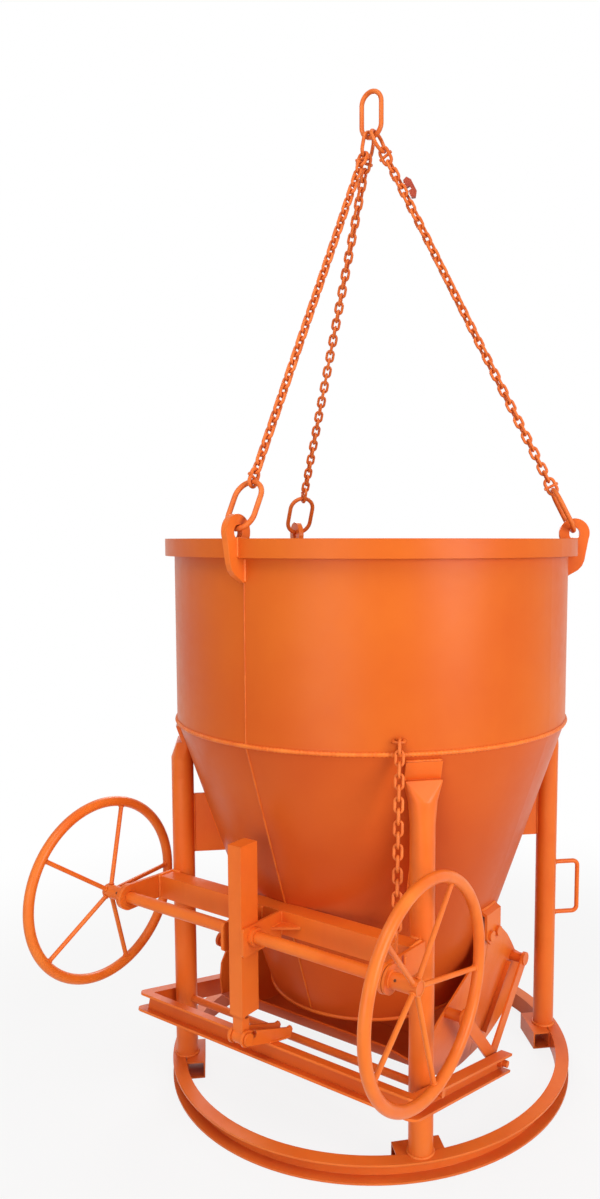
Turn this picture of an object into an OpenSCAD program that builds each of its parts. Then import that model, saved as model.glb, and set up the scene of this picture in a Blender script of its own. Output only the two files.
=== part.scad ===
// Crane concrete bucket with hand-wheel clamshell gates and a three-leg chain sling
// Millimetres, +Z up, origin at the middle of the base ring on the floor
// X runs along the hand-wheel shaft, the working side with the rack faces -Y

/* [Drum and cone] */
// Outside diameter of the drum
drum_d = 1080; // [1000:2:1140]
// Height of the straight drum wall
drum_h = 489; // [380:1:620]
// Sheet thickness of the drum and the cone
wall = 5; // [3:0.5:7]
// Height of the outlet above the floor
outlet_z = 259; // [250:1:268]
// Outside diameter of the cone at the outlet
outlet_d = 574; // [550:2:580]
// Height of the cone
cone_h = 757; // [740:1:790]
// Height of the rim band
rim_h = 45; // [36:1:56]
// How far the rim band stands out from the drum
rim_w = 24; // [18:1:30]
// Thickness of the rim band
rim_t = 4; // [3:0.5:6]
// Thickness of the round bead under the outlet
bead_d = 11; // [8:1:12]

/* [Base and legs] */
// Outside diameter of the base ring
ring_d = 1138; // [1130:2:1160]
// Width of the base ring channel
ring_w = 36; // [30:1:40]
// Height of the base ring channel
ring_h = 50; // [44:1:56]
// Sheet thickness of the base ring channel
ring_t = 5; // [4:0.5:7]
// Outside diameter of the leg tubes
leg_d = 60; // [56:1:61]
// Wall of the leg tubes
leg_wall = 4; // [3:0.5:6]
// Distance of the leg axes from the middle
leg_r = 529; // [526:0.5:534]
// Angle of the legs from the front and the back
leg_a = 46.8; // [46.5:0.1:47.5]
// Height where the tubes begin to flatten
leg_flat_z = 850; // [800:5:870]
// Width of the flattened leg ends
pad_w = 88; // [72:1:96]
// Height of the flat pads
pad_h = 44; // [36:1:52]
// Step between the flat pads and the tubes
pad_step = 13; // [9:0.5:15]
// Thickness of the leg gussets
gusset_t = 8; // [5:0.5:12]
// Lower edge of the leg gussets
gusset_z = 635; // [600:5:680]
// Height of the leg gussets
gusset_h = 165; // [120:5:180]
// Side of the square foot boxes
foot_b = 50; // [44:1:56]
// Length of the foot boxes
foot_l = 120; // [100:2:140]
// Wall of the foot boxes
foot_t = 4; // [3:0.5:6]
// Bar of the grab handle
handle_d = 13; // [10:0.5:16]
// Reach of the grab handle from its leg
handle_out = 75; // [45:1:95]
// Height of the grab handle
handle_h = 167; // [120:1:200]
// Lower end of the grab handle
handle_z = 386; // [330:1:420]

/* [Beam and brackets] */
// Top of the upper beam
beam_z = 586; // [580:1:592]
// Height of the upper beam
beam_h = 61; // [52:1:66]
// Width of the upper beam
beam_w = 48; // [40:1:54]
// Thickness of the upper beam
beam_t = 6; // [4:0.5:8]
// Inner faces of the end brackets from the middle
bracket_x = 402; // [398:1:405]
// Thickness of the end brackets
bracket_t = 10; // [8:0.5:11]
// Thickness of the two middle brackets
mid_t = 8; // [6:0.5:12]
// Gap between the rack guide and the left middle bracket
mid_left_gap = 15; // [4:0.5:24]
// Side of the gusset on the right middle bracket
mid_gusset = 60; // [40:1:80]

/* [Hand-wheel drive] */
// Distance of the shaft in front of the middle
shaft_y = 546; // [543:0.5:549]
// Height of the shaft
shaft_z = 559; // [553:0.5:565]
// Diameter of the shaft
shaft_d = 30; // [26:1:32]
// Middle of the hand-wheel rims from the middle
wheel_x = 507.6; // [500:0.2:530]
// Radius of the hand-wheel rims
wheel_r = 237; // [215:1:245]
// Tube of the hand-wheel rims
wheel_tube = 27; // [22:0.5:32]
// Diameter of the spokes
spoke_d = 12; // [9:0.5:14]
// Outside diameter of the hubs
hub_d = 36; // [36:0.5:42]
// Diameter of the hub flanges
hub_flange_d = 66; // [54:1:72]
// Outer end of the hubs
hub_x = 491; // [484:1:496]
// Turn of the right hand wheel
right_phase = 27.5; // [0:0.5:72]
// Turn of the left hand wheel
left_phase = 17.5; // [0:0.5:72]
// Outside width of the rack guide
guide_w = 40; // [38:1:46]
// Outside depth of the rack guide
guide_d = 60; // [60:1:66]
// Wall of the rack guide
guide_t = 4; // [3:0.5:4]
// Lower end of the rack guide
guide_z0 = 365; // [350:1:385]
// Upper end of the rack guide
guide_z1 = 784; // [740:1:820]
// Number of teeth on the pinion
pinion_n = 10; // [10:1:10]
// Pitch radius of the pinion
pinion_r = 15; // [14.5:0.1:15.2]
// Height of the rack foot pin
rack_pin_z = 309; // [306:0.5:312]
// Diameter of the rack foot pin
rack_pin_d = 16; // [13:0.5:17]

/* [Yoke and links] */
// Height of the yoke axle
axle_z = 214; // [210:0.5:218]
// Diameter of the yoke axle
axle_d = 20; // [16:0.5:22]
// Slope of the yoke with the gates shut
yoke_tilt = 14; // [13:0.1:15]
// Inner faces of the yoke arms from the middle
yoke_x = 418; // [418:0.5:421]
// Width of the yoke channel
yoke_w = 32; // [28:1:36]
// Height of the yoke channel
yoke_h = 48; // [46:1:52]
// Sheet thickness of the yoke channel
yoke_t = 6; // [4:0.5:7]
// Front of the yoke from its axle
yoke_front = 132; // [128:1:140]
// Rear end of the yoke from its axle
yoke_rear = 376; // [376:1:386]
// Diameter of the link pins on the yoke
link_pin_d = 18; // [14:0.5:20]
// Width of the link bars
link_w = 34; // [30:1:40]
// Thickness of the link bars
link_t = 6; // [5:0.5:6.5]
// Diameter of the pins on the gates
gate_pin_d = 14; // [12:0.5:16]
// Play of the front gate pins in their link eyes
front_pin_play = 6.75; // [6.5:0.25:7]
// Play of the rear gate pins in their link eyes
rear_pin_play = 3.5; // [3.25:0.25:4]

/* [Gates] */
// Height of the gate pivots
pivot_z = 460; // [456:0.5:464]
// Distance of each pivot from the middle
pivot_y = 20; // [19:0.5:22]
// Diameter of the pivot bolts
pivot_d = 16; // [13:0.5:18]
// Inside radius of the gate shells
shell_r = 360; // [358:1:366]
// Thickness of the gate shells
shell_t = 5; // [4:0.5:7]
// Angle from straight down to the outer edge of each shell
shell_a = 54; // [52:0.5:56]
// Outer faces of the gate cheeks at the pivots
cheek_x = 382; // [380:0.5:383]
// Thickness of the gate cheeks
cheek_t = 6; // [4:0.5:7]
// Lean of the gate cheeks
cheek_lean = 8.7; // [8.5:0.1:9.5]

/* [Sling] */
// Thickness of the lifting lugs
lug_t = 16; // [12:0.5:20]
// Height of the lug eye above the rim
lug_eye_h = 15; // [13:0.5:18]
// Wire of the sling rings
sling_ring_d = 13; // [11:0.5:14]
// Inside length of the sling rings
sling_ring_l = 112; // [104:1:120]
// Inside width of the sling rings
sling_ring_w = 64; // [56:1:70]
// Wire of the sling chains
chain_d = 8; // [6:0.25:8.5]
// Links in each sling chain
chain_n = 40; // [38:2:42]
// Bottom wire of the master link above the floor
master_z = 2581.5; // [2500:0.5:2660]
// Wire of the master link
master_d = 13; // [11:0.5:15]
// Inside length of the master link
master_l = 104; // [92:1:116]
// Inside width of the master link
master_w = 50; // [46:1:58]
// Wire of the safety chain
safety_d = 7; // [5.5:0.25:7]
// Links in the safety chain
safety_n = 16; // [14:2:18]

/* [Hidden] */
$fn = 64;
weld_gap = 0.2;
run_gap = 0.3;
side_gap = 1;
shut_gap = 1.5;
hook_gap = 0.3;
drum_r = drum_d / 2;
outlet_r = outlet_d / 2;
seam_z = outlet_z + cone_h;
rim_z = seam_z + drum_h;
cone_k = (drum_r - outlet_r) / cone_h;
ring_ri = ring_d / 2 - ring_w;
leg_x = leg_r * sin(leg_a);
leg_y = leg_r * cos(leg_a);
leg_angles = [-leg_a, leg_a, 180 - leg_a, 180 + leg_a];
pad_z = seam_z - 18 - pad_h;
pad_r = outlet_r + cone_k * (pad_z - outlet_z) + 2 * leg_wall + 1;
neck_z = leg_flat_z + (pad_z - leg_flat_z) * 0.52;
foot_out = sqrt(ring_ri * ring_ri - foot_l * foot_l / 4) - weld_gap;
foot_w = max(foot_b, foot_out - leg_r + leg_d * 0.4);
foot_r = foot_out - foot_w / 2;
beam_y1 = leg_y + leg_d / 2 + weld_gap;
beam_y2 = beam_y1 + beam_w;
bush_d = shaft_d + 14;
nose_r = bush_d / 2 + 12;
guide_y0 = shaft_y + 34;
guide_y1 = guide_y0 - guide_d;
mid_x0 = guide_w / 2 + weld_gap;
flange_x0 = bracket_x + bracket_t + side_gap + 0.5;
flange_x1 = flange_x0 + 6;
module_p = 2 * pinion_r / pinion_n;
tooth_add = 0.8 * module_p;
tooth_ded = module_p;
tooth_p = PI * module_p;
tooth_back = 0.6;
tooth_ang = 25;
pitch_y = shaft_y + pinion_r;
rack_x = guide_w / 2 - guide_t - side_gap;
rack_y0 = guide_y0 - guide_t - side_gap;
rack_pin_y = shaft_y + 20;
rack_foot_r = rack_pin_d / 2 + 8;
rack_z1 = shaft_z + 120;
slot_len = 24;
slot_play = 1.5;
lug_x0 = rack_x + side_gap;
lug_x1 = lug_x0 + 7;
yoke_up = yoke_h / 3;
yoke_dn = yoke_h - yoke_up;
yoke_xo = yoke_x + yoke_w;
link_py = 356;
link_pw = -yoke_h / 6;
link_y = -leg_y + link_py * cos(yoke_tilt) + link_pw * sin(yoke_tilt);
link_z = axle_z - link_py * sin(yoke_tilt) + link_pw * cos(yoke_tilt);
link_x1 = yoke_x - 7;
front_link_x = link_x1 - link_t;
rear_link_x = front_link_x - 3 - link_t;
front_eye = gate_pin_d / 2 + front_pin_play;
rear_eye = gate_pin_d / 2 + rear_pin_play;
front_pin = [-190, pivot_z - 148];
rear_pin = [185, pivot_z - 140];
piv_bracket_x0 = cheek_x + 4.5;
piv_bracket_t = 8;
piv_bracket_y = pivot_y + 20;
piv_bracket_z1 = pivot_z + 60;
piv_cone_x = outlet_r + cone_k * (piv_bracket_z1 + 8 - outlet_z) - 10;
lug_eye = [drum_r + 20, rim_z + lug_eye_h];
lug_hole_r = 14;
lug_sag_r = (sling_ring_w + sling_ring_d) / 2;
lug_sag = lug_sag_r - sqrt(lug_sag_r * lug_sag_r - lug_t * lug_t / 4);
lug_pull = lug_hole_r - sling_ring_d / 2 - lug_sag - 0.9;
ring_foot = [lug_eye[0] - 0.48 * lug_pull, lug_eye[1] + 2 + 0.876 * lug_pull];
coup_d = 9;
coup_l = 36;
coup_w = 16;
sub_d = 10;
sub_l = 54;
sub_w = 36;
sub_left = -13;
sub_right = 25;
master_r = (master_w + master_d) / 2;
sub_c = [0, 0, master_z + master_r];
sub_r = (sub_w + sub_d) / 2;
sub_reach = master_r - (master_d + sub_d) / 2 - hook_gap + (sub_l + sub_d) / 2;
function sub_at(t, u) = sub_c + [sin(t), 0, -cos(t)] * (sub_reach + (sub_l - sub_w) / 2 + sub_r * cos(u))
    + [0, sub_r * sin(u), 0];
front_top = sub_at(sub_left, -30);
left_top = sub_at(sub_left, 16);
right_top = sub_at(sub_right, 14);
front_end = [0, -ring_foot[0], ring_foot[1]];
left_end = [-ring_foot[0] * sin(60), ring_foot[0] * cos(60), ring_foot[1]];
right_end = [ring_foot[0] * sin(60), ring_foot[0] * cos(60), ring_foot[1]];
eye_a = 40.5;
eye_z = seam_z + 31;
eye_w = 11;
hook_y = shaft_y - 56;
hook_r = 11;
hook_x = bracket_x - hook_r + bracket_t / 2;
hook_z = beam_z - 10;
hook_top = 50;
hook_eye_r = 11;
safety_top = [(drum_r + eye_w + 2) * sin(eye_a), -(drum_r + eye_w + 2) * cos(eye_a), eye_z];
safety_end = [hook_x, -hook_y, hook_z + hook_top + 2 * hook_eye_r];

// Turns what is drawn at the front to an angle seen from above
module radial(a) rotate([0, 0, a]) children();

// Draws a part and its mirror image on the other side
module both() {
    children();
    mirror([1, 0, 0]) children();
}

// Extrudes a side view, given as y and z, from x0 to x1
module side(x0, x1) translate([x0, 0, 0]) rotate([90, 0, 90]) linear_extrude(x1 - x0) children();

// A round bar along X
module bar_x(x0, x1, y, z, r) translate([x0, y, z]) rotate([0, 90, 0]) cylinder(h = x1 - x0, r = r);

// The outside of cone and drum, grown by a gap
module body_solid(g) {
    translate([0, 0, outlet_z]) cylinder(h = cone_h, r1 = outlet_r + g, r2 = drum_r + g, $fn = 128);
    translate([0, 0, seam_z]) cylinder(h = drum_h, r = drum_r + g, $fn = 128);
}

module drum_shell() color("orangered") rotate_extrude($fn = 128)
    translate([drum_r - wall, seam_z]) square([wall, drum_h]);

module cone_shell() color("orangered") rotate_extrude($fn = 128)
    polygon([[outlet_r, outlet_z], [drum_r, seam_z], [drum_r - wall, seam_z], [outlet_r - wall, outlet_z]]);

module rim_band() color("orange") rotate_extrude($fn = 128) difference() {
    translate([drum_r + weld_gap, rim_z - rim_h]) square([rim_w, rim_h]);
    translate([drum_r + weld_gap - 1, rim_z - rim_h + rim_t]) square([rim_w - rim_t + 1, rim_h - 2 * rim_t]);
}

module outlet_bead() color("orange") rotate_extrude($fn = 128)
    translate([outlet_r - wall / 2, outlet_z - bead_d / 2 - weld_gap]) circle(d = bead_d, $fn = 24);

module base_ring() color("orange") rotate_extrude($fn = 128) difference() {
    translate([ring_ri, 0]) square([ring_w, ring_h]);
    translate([ring_ri + ring_t, ring_t]) square([ring_w, ring_h - 2 * ring_t]);
}

module foot_boxes() color("orangered") for (a = leg_angles) radial(a)
    translate([-foot_l / 2, -foot_r, ring_h / 2]) rotate([90, 0, 90]) linear_extrude(foot_l) difference() {
        square([foot_w, ring_h - 2], center = true);
        square([foot_w - 2 * foot_t, ring_h - 2 - 2 * foot_t], center = true);
    }

// One leg at the front: a tube with its upper end flattened against the cone
module leg_blank() {
    translate([0, -leg_r, ring_h + weld_gap])
        cylinder(h = leg_flat_z - ring_h - weld_gap, d = leg_d);
    hull() {
        translate([0, -leg_r, leg_flat_z - 2]) cylinder(h = 2, d = leg_d, $fn = 48);
        leg_neck();
    }
    hull() {
        leg_neck();
        translate([-pad_w / 2, -pad_r - pad_step, pad_z - 4]) cube([pad_w, pad_step + 16, 4]);
    }
    side(-pad_w / 2, pad_w / 2)
        polygon([[-pad_r, pad_z - 4], [-pad_r, pad_z], [-pad_r - cone_k * pad_h, pad_z + pad_h],
            [40 - drum_r, pad_z + pad_h], [40 - drum_r, pad_z - 4]]);
}
module leg_neck() translate([0, -leg_r, neck_z]) scale([1 + pad_w / leg_d / 9, 1, 1])
    cylinder(h = 2, d = leg_d, $fn = 48);

module leg(a) difference() {
    radial(a) leg_blank();
    body_solid(weld_gap);
    radial(a) translate([0, -leg_r, 0]) cylinder(h = leg_flat_z - 6, d = leg_d - 2 * leg_wall);
    bar_x(-leg_x - leg_d, leg_x + leg_d, -leg_y, axle_z, axle_d / 2 + weld_gap);
}

module leg_front_left() color("orange") leg(-leg_a);
module leg_front_right() color("orange") leg(leg_a);
module leg_rear_left() color("orange") leg(180 + leg_a);
module leg_rear_right() color("orange") leg(180 - leg_a);

module leg_gussets() color("orangered") difference() {
    for (a = leg_angles) radial(a) side(-gusset_t / 2, gusset_t / 2)
        polygon([[-leg_r, gusset_z], [-leg_r, gusset_z + gusset_h],
            [-(outlet_r + cone_k * (gusset_z + gusset_h - outlet_z) - 4), gusset_z + gusset_h],
            [-(outlet_r + cone_k * (gusset_z - outlet_z) - 4), gusset_z]]);
    body_solid(weld_gap);
    for (a = leg_angles) radial(a) translate([0, -leg_r, gusset_z - 10])
        cylinder(h = gusset_h + 20, d = leg_d + 2 * weld_gap);
}

module grab_handle() color("orange") radial(180 - leg_a) difference() {
    hr = handle_d / 2;
    bend = handle_d + 2;
    yo = -(leg_r + leg_d / 2 + handle_out - hr);
    z0 = handle_z + hr;
    z1 = handle_z + handle_h - hr;
    union() {
        for (z = [z0, z1]) translate([0, yo + bend, z]) rotate([-90, 0, 0]) cylinder(h = handle_out, r = hr);
        translate([0, yo, z0 + bend]) cylinder(h = z1 - z0 - 2 * bend, r = hr);
        translate([0, yo + bend, z0 + bend]) rotate([0, 90, 0]) rotate([0, 0, -90])
            rotate_extrude(angle = 90) translate([bend, 0]) circle(r = hr, $fn = 24);
        translate([0, yo + bend, z1 - bend]) rotate([0, 90, 0]) rotate([0, 0, 180])
            rotate_extrude(angle = 90) translate([bend, 0]) circle(r = hr, $fn = 24);
    }
    translate([0, -leg_r, handle_z - 20]) cylinder(h = handle_h + 40, d = leg_d + 2 * weld_gap);
}

module upper_beam() color("orange") difference() {
    side(-bracket_x + weld_gap, bracket_x - weld_gap)
        translate([-beam_y2, beam_z - beam_h]) square([beam_w, beam_h]);
    side(-bracket_x - 1, bracket_x + 1)
        translate([-beam_y2 + beam_t, beam_z - beam_h - 1]) square([beam_w, beam_h - beam_t + 1]);
    body_solid(weld_gap);
}

// Side view of an end bracket, with a round nose about the shaft
module bracket_view() {
    polygon([[-beam_y1, beam_z - beam_h], [-beam_y1, beam_z], [-shaft_y, shaft_z + nose_r], [-shaft_y, shaft_z - nose_r]]);
    translate([-shaft_y, shaft_z]) circle(r = nose_r);
}

module end_bracket() difference() {
    side(bracket_x, bracket_x + bracket_t) bracket_view();
    bar_x(bracket_x - 1, bracket_x + bracket_t + 1, -shaft_y, shaft_z, bush_d / 2 + weld_gap);
}

module end_bracket_left() color("orangered") mirror([1, 0, 0]) end_bracket();
module end_bracket_right() color("orangered") difference() {
    end_bracket();
    bar_x(bracket_x - 1, bracket_x + bracket_t + 1, -hook_y, hook_z - hook_r, safety_d / 2 + 2.5);
}

// A middle bracket from x0 outwards, with rounded front corners
module mid_bracket(x0) difference() {
    side(x0, x0 + mid_t) {
        offset(r = 9) offset(delta = -9)
            translate([-guide_y0 - 3, shaft_z - nose_r - 9]) square([guide_y0 + 3 - beam_y2 - weld_gap, beam_z - shaft_z + nose_r + 9]);
        translate([-beam_y2 - weld_gap - 20, beam_z - beam_h]) square([20, beam_h]);
    }
    bar_x(x0 - 1, x0 + mid_t + 1, -shaft_y, shaft_z, bush_d / 2 + weld_gap);
}

module mid_brackets() color("orangered") {
    mirror([1, 0, 0]) mid_bracket(mid_x0 + mid_left_gap);
    mid_bracket(mid_x0);
    translate([mid_x0 + mid_t - 1, -beam_y2 - weld_gap, beam_z - beam_h + 26]) linear_extrude(6)
        polygon([[0, 0], [mid_gusset + 1, 0], [0, -mid_gusset * 0.7]]);
}

module shaft_bushes() color("gray") difference() {
    union() {
        bar_x(mid_x0, mid_x0 + mid_t + 12, -shaft_y, shaft_z, bush_d / 2);
        bar_x(-mid_x0 - mid_left_gap - mid_t, -mid_x0 - mid_left_gap, -shaft_y, shaft_z, bush_d / 2);
        both() bar_x(bracket_x, bracket_x + bracket_t, -shaft_y, shaft_z, bush_d / 2);
    }
    bar_x(-wheel_x, wheel_x, -shaft_y, shaft_z, shaft_d / 2 + run_gap);
}

module rack_guide() color("orange") difference() {
    translate([-guide_w / 2, -guide_y0, guide_z0]) cube([guide_w, guide_d, guide_z1 - guide_z0]);
    translate([-guide_w / 2 + guide_t, -guide_y0 + guide_t, guide_z0 - 1])
        cube([guide_w - 2 * guide_t, guide_d - 2 * guide_t, guide_z1 - guide_z0 - guide_t + 1]);
    bar_x(-guide_w, guide_w, -shaft_y, shaft_z, pinion_r + tooth_add + 1.2);
}

// A plate that carries the pivots, with its upper edge bent in to the cone
module pivot_bracket() difference() {
    union() {
        side(piv_bracket_x0, piv_bracket_x0 + piv_bracket_t)
            polygon([[-piv_bracket_y, pivot_z - 4], [-piv_bracket_y + 22, pivot_z - 26],
                [piv_bracket_y - 22, pivot_z - 26], [piv_bracket_y, pivot_z - 4],
                [piv_bracket_y, piv_bracket_z1], [-piv_bracket_y, piv_bracket_z1]]);
        hull() for (q = [[piv_bracket_x0, piv_bracket_z1 - 6, piv_bracket_t], [piv_cone_x, piv_bracket_z1 + 8, 4]])
            translate([q[0], -piv_bracket_y, q[1]]) cube([q[2], 2 * piv_bracket_y, 6]);
    }
    body_solid(weld_gap);
    for (y = [-pivot_y, pivot_y]) bar_x(drum_r / 2, drum_r, y, pivot_z, pivot_d / 2 + weld_gap);
}

module pivot_bracket_left() color("orangered") mirror([1, 0, 0]) pivot_bracket();
module pivot_bracket_right() color("orangered") pivot_bracket();

module gate_pivot_bolts() color("dimgray") both() for (y = [-pivot_y, pivot_y]) {
    bar_x(cheek_x - 14, piv_bracket_x0 + piv_bracket_t + 1, y, pivot_z, pivot_d / 2);
    translate([piv_bracket_x0 + piv_bracket_t + weld_gap, y, pivot_z]) rotate([0, 90, 0])
        cylinder(h = 8, r = pivot_d * 0.85);
    translate([cheek_x - 16, y, pivot_z]) rotate([0, 90, 0]) cylinder(h = 6, r = pivot_d * 0.85, $fn = 6);
}

module yoke_axle() color("dimgray") {
    bar_x(-yoke_x - yoke_t, yoke_x + yoke_t, -leg_y, axle_z, axle_d / 2);
    bar_x(3 - yoke_xo, yoke_xo - 3, -leg_y, axle_z, min(axle_d / 2, yoke_up - yoke_t) - 1);
}

// Side view of a lifting lug, hooked over the rim
module lug_view() difference() {
    union() {
        intersection() {
            translate([-lug_eye[0], lug_eye[1]]) circle(r = 41);
            translate([-drum_r - 100, rim_z + weld_gap]) square([200, 100]);
        }
        polygon([[-(drum_r + rim_w + 2 * weld_gap), rim_z + 1], [-(drum_r + 61), rim_z + lug_eye_h],
            [-(drum_r + 48), rim_z - 59], [-(drum_r + 42), rim_z - 74], [-(drum_r + 31), rim_z - 86],
            [-(drum_r + weld_gap), rim_z - 104], [-(drum_r + weld_gap), rim_z - rim_h - weld_gap],
            [-(drum_r + rim_w + 2 * weld_gap), rim_z - rim_h - weld_gap]]);
    }
    translate([-lug_eye[0], lug_eye[1] - 2]) circle(r = lug_hole_r);
    translate([-lug_eye[0], lug_eye[1] + 2]) circle(r = lug_hole_r);
    translate([-lug_eye[0] - lug_hole_r, lug_eye[1] - 2]) square([2 * lug_hole_r, 4]);
}

module lifting_lugs() color("orange") for (a = [0, 120, 240]) radial(a) side(-lug_t / 2, lug_t / 2) lug_view();

// A closed oblong link in the YZ plane, long way up
module oblong(l, w, d) {
    r = (w + d) / 2;
    s = round((l - w) * 50) / 100;
    rotate([90, 0, 90]) {
        translate([0, s, 0]) rotate_extrude(angle = 180, $fn = 32) translate([r, 0]) circle(d = d, $fn = 16);
        translate([0, -s, 0]) rotate([0, 0, 180]) rotate_extrude(angle = 180, $fn = 32)
            translate([r, 0]) circle(d = d, $fn = 16);
        for (x = [-r, r]) translate([x, s, 0]) rotate([90, 0, 0]) cylinder(h = 2 * s, d = d, $fn = 16);
    }
}

// Turns +Z to a direction, after a roll about it
function dir_inc(v) = acos(v[2] / norm(v));
function dir_az(v) = atan2(v[1], v[0]);
module aim(p, v, roll) translate(p) rotate([0, dir_inc(v), dir_az(v)]) rotate([0, 0, roll]) children();

// Distances along a sling leg from the wire of the sub link
coup_h = coup_l / 2 + coup_d / 2;
top_mid = coup_h - (sub_d + coup_d) / 2 - hook_gap;
top_far = top_mid + coup_h;
ring_h2 = sling_ring_l / 2 + sling_ring_d / 2;
low_tail = 2 * ring_h2 - (coup_d + sling_ring_d) / 2 - hook_gap;
function leg_len(a, b) = norm(b - a);
function low_mid(a, b) = leg_len(a, b) - low_tail - coup_h;
function chain_span(a, b) = low_mid(a, b) - coup_h + (chain_d + coup_d) / 2 + hook_gap
    - (top_far - (chain_d + coup_d) / 2 - hook_gap);
function chain_pitch(a, b) = (chain_span(a, b) - chain_d - hook_gap) / chain_n;
function chain_in(a, b) = chain_pitch(a, b) + hook_gap;
function chain_pos(a, b, k) = top_far - (chain_d + coup_d) / 2 - hook_gap + chain_d / 2
    + chain_in(a, b) / 2 + k * chain_pitch(a, b);

module sling_chain(a, b, roll, twist) {
    v = b - a;
    for (k = [0:chain_n - 1]) aim(a + v / norm(v) * chain_pos(a, b, k), v, roll + 90 * (k + 1) + twist * (k + 1) / (chain_n + 1))
        oblong(chain_in(a, b), chain_d * 1.4, chain_d);
}

// A coupling link with its cross pin
module coupling() {
    oblong(coup_l, coup_w, coup_d);
    rotate([90, 0, 0]) cylinder(h = coup_w + 2 * coup_d + 6, d = 8, center = true, $fn = 24);
}

module leg_couplings(a, b, roll, twist) {
    v = b - a;
    aim(a + v / norm(v) * top_mid, v, roll) coupling();
    aim(a + v / norm(v) * low_mid(a, b), v, roll + 90 * (chain_n + 1) + twist) coupling();
}

module sling_ring(a, b) {
    v = b - a;
    aim(b - v / norm(v) * ring_h2, v, 0) oblong(sling_ring_l, sling_ring_w, sling_ring_d);
}

top_roll = 57;
module sling_rings() color("orange") {
    sling_ring(front_top, front_end);
    sling_ring(left_top, left_end);
    sling_ring(right_top, right_end);
}
module sling_chain_front() color("orange") sling_chain(front_top, front_end, 0, 0);
module sling_chain_left() color("orange") sling_chain(left_top, left_end, top_roll, -top_roll);
module sling_chain_right() color("orange") sling_chain(right_top, right_end, -top_roll, top_roll);
module sling_couplings() color("orangered") {
    leg_couplings(front_top, front_end, 0, 0);
    leg_couplings(left_top, left_end, top_roll, -top_roll);
    leg_couplings(right_top, right_end, -top_roll, top_roll);
}

module chain_shortener() color("firebrick") {
    v = right_end - right_top;
    aim(right_top + v / norm(v) * 118, v, 90) translate([0, chain_d * 1.2 - 2.05, 0]) rotate([90, 0, 90])
        linear_extrude(14, center = true) difference() {
            polygon([[chain_d * 0.5 + 0.2, -26], [16, -30], [24, -18], [24, 16], [15, 28], [chain_d * 0.5 + 0.2, 24]]);
            translate([chain_d * 0.5, -5]) square([9, 10]);
        }
}

module sub_links() color("orange") for (t = [sub_left, sub_right]) translate(sub_c) rotate([0, -t, 0])
    translate([0, 0, -sub_reach]) oblong(sub_l, sub_w, sub_d);

module master_link() color("orange") translate([0, 0, master_z + master_l / 2 + master_d / 2]) rotate([0, 0, 90])
    oblong(master_l, master_w, master_d);

module chain_eye() color("orange") difference() {
    radial(eye_a) translate([0, -drum_r, eye_z])
        rotate_extrude($fn = 48) translate([eye_w + 2, 0]) circle(d = safety_d, $fn = 16);
    body_solid(weld_gap);
}

// Safety chain from the eye to the hook
safety_v = safety_end - safety_top;
safety_pitch = (norm(safety_v) + safety_d + hook_gap) / safety_n;
module safety_chain() color("orange") for (k = [0:safety_n - 1])
    aim(safety_top + safety_v / norm(safety_v) * (safety_pitch * (k + 0.5) - (safety_d + hook_gap) / 2), safety_v, 90 * (k + 1))
        oblong(safety_pitch + hook_gap, safety_d * 1.5, safety_d);

// The hook's eye stands in line with the chain, across its last link
module safety_hook() color("orange") {
    r = safety_d / 2;
    aim(safety_end + safety_v / norm(safety_v) * hook_eye_r, safety_v, 0) rotate([90, 0, 0]) rotate_extrude($fn = 48)
        translate([hook_eye_r, 0]) circle(r = r, $fn = 16);
    translate([hook_x, -hook_y, hook_z]) {
        cylinder(h = hook_top, r = r);
        translate([hook_r, 0, 0]) rotate([90, 0, 0]) rotate([0, 0, 180]) rotate_extrude(angle = 180, $fn = 48)
            translate([hook_r, 0]) circle(r = r, $fn = 16);
        translate([2 * hook_r, 0, 0]) cylinder(h = 14, r = r);
    }
}

// One flank point of a pinion tooth, as an involute
function inv_r(t, rb) = rb * sqrt(1 + t * t);
function inv_a(t) = t * 180 / PI - atan(t);
rb = pinion_r * cos(tooth_ang);
pitch_t = sqrt(pow(pinion_r / rb, 2) - 1);
tip_t = sqrt(pow((pinion_r + tooth_add) / rb, 2) - 1);
half_a = (tooth_p / 2 - tooth_back / 2) / pinion_r / 2 * 180 / PI;
base_half = half_a + inv_a(pitch_t);
root_r = pinion_r - tooth_ded;
// Half turn that sets a gap of the pinion against a rack tooth
mesh_a = 180 + 180 / pinion_n;
function tooth_pts(c) = concat([[root_r, c - base_half]],
    [for (i = [0:4]) let(t = tip_t * i / 4) [inv_r(t, rb), c - base_half + inv_a(t)]],
    [for (i = [4:-1:0]) let(t = tip_t * i / 4) [inv_r(t, rb), c + base_half - inv_a(t)]],
    [[root_r, c + base_half]]);

module pinion_view() polygon([for (k = [0:pinion_n - 1]) for (q = tooth_pts(mesh_a + k * 360 / pinion_n))
    [q[0] * cos(q[1]), q[0] * sin(q[1])]]);

module pinion_shaft() color("silver") difference() {
    union() {
        both() bar_x(mid_x0 - guide_t, hub_x - 1, -shaft_y, shaft_z, shaft_d / 2);
        bar_x(-mid_x0 - 1, mid_x0 + 1, -shaft_y, shaft_z, root_r - 0.5);
        side(-rack_x, rack_x) translate([-shaft_y, shaft_z]) pinion_view();
    }
    both() hub_pin(0.2);
}

// Cross pin of a hub, grown by a gap
hub_pin_x = bracket_x + 35;
module hub_pin(g) translate([hub_pin_x, -shaft_y, shaft_z]) rotate([60, 0, 0])
    cylinder(h = hub_d + 1 + 2 * g, r = 3 + g, center = true, $fn = 24);

module hub_pins() color("dimgray") both() hub_pin(0);

module wheel_rim() translate([wheel_x, -shaft_y, shaft_z]) rotate([0, 90, 0])
    rotate_extrude($fn = 128) translate([wheel_r, 0]) circle(d = wheel_tube, $fn = 32);

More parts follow.
